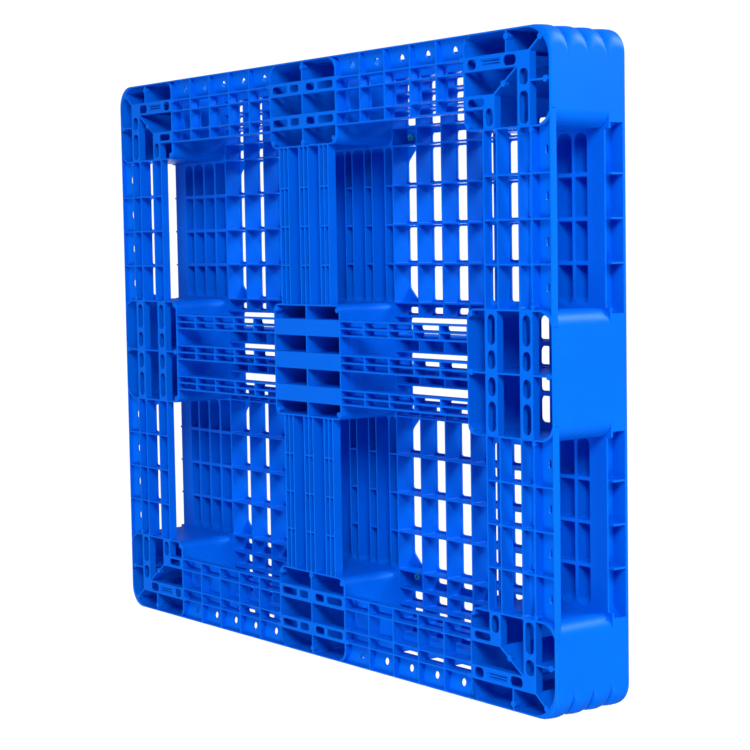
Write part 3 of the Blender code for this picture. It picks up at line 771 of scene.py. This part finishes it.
def make_deck():
    ends = (-HALF_LENGTH, HALF_LENGTH, -HALF_WIDTH, HALF_WIDTH)
    body = shell(*ends, (None,) * 4, FOOT_TOP, DECK_TOP, top_edge=3)
    around = rounded(-HALF_LENGTH - 9, HALF_LENGTH + 9, -HALF_WIDTH - 9, HALF_WIDTH + 9, 0)
    grid = solid([around, *deck_cells()], FOOT_TOP, DECK_TOP - SKIN + 1.5, EDGE)
    long_slots = [
        flipped(rounded(BAY_X[0] + 3, BAY_X[-1] - 3, low_y, high_y, 5), side, 1)
        for low_y, high_y in LONG_SLOTS_Y
        for side in (1, -1)
    ]
    openings = four_ways([*deck_openings(), circle(*PLUG_XY, PLUG_HOLE)]) + long_slots
    skin = solid([around, *openings], DECK_TOP - SKIN, DECK_TOP, EDGE)
    made = combined(grid, [skin], "UNION")
    made = combined(made, [body], "INTERSECT")
    recess = solid(channel_outlines(), *CHANNEL, 0)
    setback = solid(four_ways([
        rounded(BAY_X[0], BAY_X[-1], HALF_WIDTH - FLANGE_SETBACK, HALF_WIDTH + 5, (3, 3, 0, 0)),
        rounded(HALF_LENGTH - FLANGE_SETBACK, HALF_LENGTH + 5, BAY_Y[0], BAY_Y[-1], (3, 0, 0, 3)),
    ]), FOOT_TOP - 1, CHANNEL[0] + 0.5, 0)
    seat = circle(*PLUG_XY, PLUG_SEAT, 24)
    heads = solid(four_ways([seat]), DECK_TOP - PLUG_SEAT_DEPTH, DECK_TOP + 2, 0)
    return combined(made, [recess, setback, heads], "DIFFERENCE")


piece(make_deck(), "top_deck", deck_look)


# ---------------------------------------------------------------- rubber plugs

def make_plug(side_x, side_y):
    """A rubber plug turned about its own axis: a domed, ringed head and a hollow barbed shank."""
    profile = (
        (0, -0.6), (3.2, -0.6), (3.8, -0.1), (5.4, -0.1), (6.0, -0.6), (7.0, -0.6), (7.5, 0), (8.4, 0),
        (9, -0.6), (9, -2), (5, -2), (5, -4.3), (6.2, -4.4), (6.1, -5), (5, -7), (3, -7), (2.6, -6.6),
        (2.6, -2.4), (0, -2.4),
    )
    work = bmesh.new()
    turns = 28
    rings = []
    for radius, height in profile:
        if not radius:
            rings.append([work.verts.new((0, 0, height * MM))])
            continue
        rings.append([
            work.verts.new((radius * MM * math.cos(math.tau * turn / turns),
                            radius * MM * math.sin(math.tau * turn / turns), height * MM))
            for turn in range(turns)
        ])
    for first, second in zip(rings, rings[1:]):
        for turn in range(turns):
            after = (turn + 1) % turns
            corners = [first[turn % len(first)], first[after % len(first)], second[after % len(second)],
                       second[turn % len(second)]]
            work.faces.new(list(dict.fromkeys(corners)))
    bmesh.ops.recalc_face_normals(work, faces=work.faces)
    mesh = bpy.data.meshes.new("plug")
    work.to_mesh(mesh)
    work.free()
    mesh.transform(Matrix.Translation((side_x * PLUG_XY[0] * MM, side_y * PLUG_XY[1] * MM, DECK_TOP * MM)))
    made = bpy.data.objects.new("plug", mesh)
    bpy.context.scene.collection.objects.link(made)
    return made


for end, side_y in (("front", -1), ("rear", 1)):
    for hand, side_x in (("left", -1), ("right", 1)):
        piece(make_plug(side_x, side_y), f"grip_plug_{end}_{hand}", plug_look)


# ---------------------------------------------------------------- studio

def make_floor():
    """A pale floor, seen only from above, because the camera looks up from under it."""
    mesh = bpy.data.meshes.new("floor")
    half = 40.0
    corners = [(-half, -half, 0), (half, -half, 0), (half, half, 0), (-half, half, 0)]
    mesh.from_pydata(corners, [], [(0, 1, 2, 3)])
    floor = bpy.data.objects.new("floor", mesh)
    bpy.context.scene.collection.objects.link(floor)
    look = bpy.data.materials.new("pale_floor")
    look.use_nodes = True
    tree = look.node_tree
    shader = tree.nodes["Principled BSDF"]
    shader.inputs["Base Color"].default_value = (0.4, 0.4, 0.4, 1)
    shader.inputs["Roughness"].default_value = 0.9
    shader.inputs["Emission Color"].default_value = (0.9, 0.95, 1, 1)
    shader.inputs["Emission Strength"].default_value = 0.35
    clear = tree.nodes.new("ShaderNodeBsdfTransparent")
    choice = tree.nodes.new("ShaderNodeMixShader")
    facing = tree.nodes.new("ShaderNodeNewGeometry")
    tree.links.new(facing.outputs["Backfacing"], choice.inputs["Fac"])
    tree.links.new(shader.outputs["BSDF"], choice.inputs[1])
    tree.links.new(clear.outputs["BSDF"], choice.inputs[2])
    tree.links.new(choice.outputs["Shader"], tree.nodes["Material Output"].inputs["Surface"])
    mesh.materials.append(look)
    floor.visible_diffuse = False
    floor.visible_glossy = False
    floor.visible_shadow = False


def make_lamp(name, place, target, size, power):
    lamp = bpy.data.lights.new(name, "AREA")
    lamp.shape = "DISK"
    lamp.size = size
    lamp.energy = power
    made = bpy.data.objects.new(name, lamp)
    made.location = place
    made.rotation_euler = (Vector(target) - Vector(place)).to_track_quat("-Z", "Y").to_euler()
    bpy.context.scene.collection.objects.link(made)


def make_world():
    """White behind everything, and a dimmer white as fill light."""
    world = bpy.data.worlds.new("studio")
    bpy.context.scene.world = world
    world.use_nodes = True
    tree = world.node_tree
    back = tree.nodes["Background"]
    back.inputs["Color"].default_value = (1, 1, 1, 1)
    back.inputs["Strength"].default_value = 1.05
    fill = tree.nodes.new("ShaderNodeBackground")
    fill.inputs["Color"].default_value = (0.5, 0.72, 1, 1)
    fill.inputs["Strength"].default_value = 0.32
    path = tree.nodes.new("ShaderNodeLightPath")
    choice = tree.nodes.new("ShaderNodeMixShader")
    tree.links.new(path.outputs["Is Camera Ray"], choice.inputs["Fac"])
    tree.links.new(fill.outputs["Background"], choice.inputs[1])
    tree.links.new(back.outputs["Background"], choice.inputs[2])
    tree.links.new(choice.outputs["Shader"], tree.nodes["World Output"].inputs["Surface"])


def make_camera():
    lens = bpy.data.cameras.new("camera")
    lens.sensor_width = 36
    lens.lens = 87.8
    camera = bpy.data.objects.new("camera", lens)
    right = Vector((0.61254, 0.01676, 0.79026))
    up = Vector((-0.04527, -0.99739, 0.05624))
    back = right.cross(up)
    turn = Matrix((right, up, back)).transposed().to_4x4()
    camera.matrix_world = Matrix.Translation((2.4948, -0.18998, -1.7848)) @ turn
    bpy.context.scene.collection.objects.link(camera)
    bpy.context.scene.camera = camera


make_floor()
make_world()
make_camera()
make_lamp("key", (3.2, -2.2, -2.2), (0, 0, 0.05), 1.6, 160)
make_lamp("low_fill", (0.2, 1.6, -3.4), (0, 0, 0.05), 2.6, 90)
make_lamp("side", (3.6, 1.8, 0.6), (0.3, 0, 0.05), 1.6, 76)
make_lamp("high_key", (2.2, -2.6, 3.2), (0, 0, 0.1), 2.2, 150)
make_lamp("high_fill", (-3.0, 1.8, 2.6), (0, 0, 0.1), 2.4, 80)
bpy.context.scene.view_settings.view_transform = "Standard"
